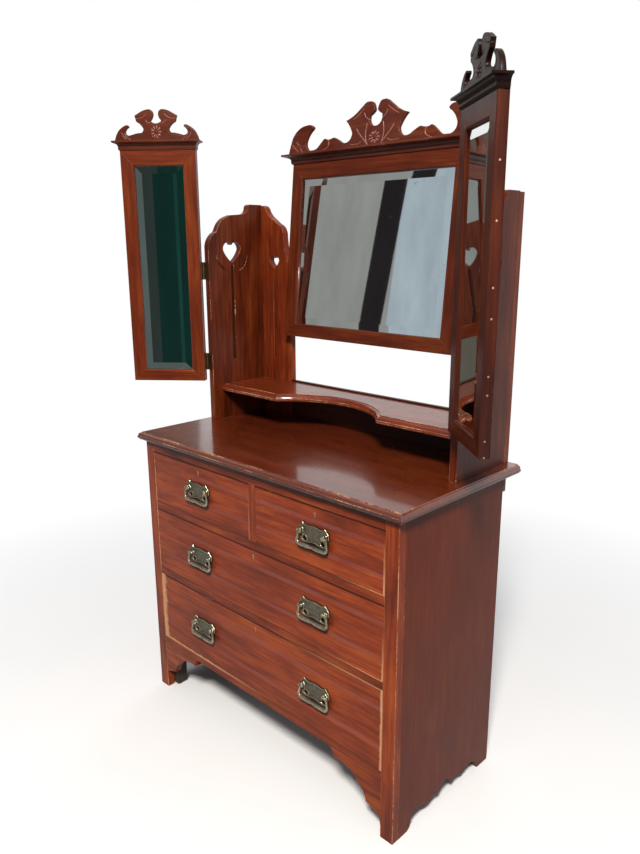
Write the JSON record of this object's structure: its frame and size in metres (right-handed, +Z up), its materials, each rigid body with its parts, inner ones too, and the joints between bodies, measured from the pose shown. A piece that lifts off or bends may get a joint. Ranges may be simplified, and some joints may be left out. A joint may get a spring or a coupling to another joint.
{
  "type": "dressing table with mirror",
  "caption": "Mahogany dressing chest on bracket feet: two short over two long drawers with bail handles, a shaped shelf, a tilting centre mirror and hinged wing mirrors.",
  "frame": {"origin": "on the floor, under the middle of the whole object's width and depth", "axes": "+X to the object's right as seen from the front, +Y towards the back, +Z up; the drawers face -Y"},
  "size_m": [1.238, 0.483, 1.6771],
  "materials": {
    "mahogany": "polished reddish-brown mahogany, worn at the edges",
    "pine": "plain unpolished pine",
    "handle_brass": "aged olive cast brass",
    "lock_brass": "plain brass",
    "hinge_brass": "dull brass",
    "mirror_glass": "silvered glass with a bevelled edge"
  },
  "bodies": {
    "chest": {"chest_top": "mahogany", "chest_side_left": "mahogany", "chest_side_right": "mahogany", "chest_stile_left": "mahogany", "chest_stile_right": "mahogany", "top_rail": "mahogany", "drawer_rails": "mahogany", "bottom_rail": "mahogany", "drawer_divider": "mahogany", "foot_brackets": "mahogany", "back_boards": "pine", "drawer_runners": "pine", "glue_blocks": "pine", "standard_side_left": "mahogany", "standard_side_right": "mahogany", "standard_back_left": "mahogany", "standard_back_right": "mahogany", "shelf": "mahogany", "shelf_back": "mahogany", "hinge_fixed_left": "hinge_brass", "hinge_fixed_right": "hinge_brass", "pivot_plates": "hinge_brass"},
    "drawer_short_left": {"drawer_front_short_left": "mahogany", "drawer_box_short_left": "pine", "drawer_lock_short_left": "lock_brass", "handle_plates_short_left": "handle_brass"},
    "drawer_short_right": {"drawer_front_short_right": "mahogany", "drawer_box_short_right": "pine", "drawer_lock_short_right": "lock_brass", "handle_plates_short_right": "handle_brass"},
    "drawer_middle": {"drawer_front_middle": "mahogany", "drawer_box_middle": "pine", "drawer_lock_middle": "lock_brass", "handle_plates_middle": "handle_brass"},
    "drawer_bottom": {"drawer_front_bottom": "mahogany", "drawer_box_bottom": "pine", "drawer_lock_bottom": "lock_brass", "handle_plates_bottom": "handle_brass"},
    "bolt_short_left": {"lock_bolt_short_left": "lock_brass"},
    "bail_short_left": {"bail_short_left": "handle_brass"},
    "bolt_short_right": {"lock_bolt_short_right": "lock_brass"},
    "bail_short_right": {"bail_short_right": "handle_brass"},
    "bolt_middle": {"lock_bolt_middle": "lock_brass"},
    "bail_middle_left": {"bail_middle_left": "handle_brass"},
    "bail_middle_right": {"bail_middle_right": "handle_brass"},
    "bolt_bottom": {"lock_bolt_bottom": "lock_brass"},
    "bail_bottom_left": {"bail_bottom_left": "handle_brass"},
    "bail_bottom_right": {"bail_bottom_right": "handle_brass"},
    "mirror_centre": {"centre_frame": "mahogany", "centre_glass": "mirror_glass", "centre_cresting": "mahogany", "pivot_studs": "hinge_brass"},
    "mirror_wing_left": {"wing_frame_left": "mahogany", "wing_glass_left": "mirror_glass", "wing_cresting_left": "mahogany", "hinge_moving_left": "hinge_brass"},
    "mirror_wing_right": {"wing_frame_right": "mahogany", "wing_glass_right": "mirror_glass", "wing_cresting_right": "mahogany", "hinge_moving_right": "hinge_brass"}
  },
  "joints": [
    {"name": "drawer_short_left_slide", "type": "slide", "parent": "chest", "child": "drawer_short_left", "axis": [0, -1, 0], "range_m": [0, 0.27]},
    {"name": "drawer_short_right_slide", "type": "slide", "parent": "chest", "child": "drawer_short_right", "axis": [0, -1, 0], "range_m": [0, 0.27]},
    {"name": "drawer_middle_slide", "type": "slide", "parent": "chest", "child": "drawer_middle", "axis": [0, -1, 0], "range_m": [0, 0.27]},
    {"name": "drawer_bottom_slide", "type": "slide", "parent": "chest", "child": "drawer_bottom", "axis": [0, -1, 0], "range_m": [0, 0.27]},
    {"name": "bolt_short_left_throw", "type": "slide", "parent": "drawer_short_left", "child": "bolt_short_left", "axis": [0, 0, 1], "range_m": [0, 0.006]},
    {"name": "bail_short_left_swing", "type": "hinge", "parent": "drawer_short_left", "child": "bail_short_left", "pos_m": [-0.2165, -0.23, 0.6875], "axis": [-1, 0, 0], "range_deg": [0, 86]},
    {"name": "bolt_short_right_throw", "type": "slide", "parent": "drawer_short_right", "child": "bolt_short_right", "axis": [0, 0, 1], "range_m": [0, 0.006]},
    {"name": "bail_short_right_swing", "type": "hinge", "parent": "drawer_short_right", "child": "bail_short_right", "pos_m": [0.2165, -0.23, 0.6875], "axis": [-1, 0, 0], "range_deg": [0, 86]},
    {"name": "bolt_middle_throw", "type": "slide", "parent": "drawer_middle", "child": "bolt_middle", "axis": [0, 0, 1], "range_m": [0, 0.006]},
    {"name": "bail_middle_left_swing", "type": "hinge", "parent": "drawer_middle", "child": "bail_middle_left", "pos_m": [-0.2165, -0.23, 0.50075], "axis": [-1, 0, 0], "range_deg": [0, 86]},
    {"name": "bail_middle_right_swing", "type": "hinge", "parent": "drawer_middle", "child": "bail_middle_right", "pos_m": [0.2165, -0.23, 0.50075], "axis": [-1, 0, 0], "range_deg": [0, 86]},
    {"name": "bolt_bottom_throw", "type": "slide", "parent": "drawer_bottom", "child": "bolt_bottom", "axis": [0, 0, 1], "range_m": [0, 0.006]},
    {"name": "bail_bottom_left_swing", "type": "hinge", "parent": "drawer_bottom", "child": "bail_bottom_left", "pos_m": [-0.2165, -0.23, 0.28625], "axis": [-1, 0, 0], "range_deg": [0, 86]},
    {"name": "bail_bottom_right_swing", "type": "hinge", "parent": "drawer_bottom", "child": "bail_bottom_right", "pos_m": [0.2165, -0.23, 0.28625], "axis": [-1, 0, 0], "range_deg": [0, 86]},
    {"name": "centre_mirror_tilt", "type": "hinge", "parent": "chest", "child": "mirror_centre", "pos_m": [0, 0.21, 1.255], "axis": [1, 0, 0], "range_deg": [-20, 17]},
    {"name": "wing_mirror_left_swing", "type": "hinge", "parent": "chest", "child": "mirror_wing_left", "pos_m": [-0.4435, -0.004, 1.2], "axis": [0, 0, 1], "range_deg": [-80, 50]},
    {"name": "wing_mirror_right_swing", "type": "hinge", "parent": "chest", "child": "mirror_wing_right", "pos_m": [0.4435, -0.004, 1.2], "axis": [0, 0, -1], "range_deg": [-80, 50]}
  ]
}
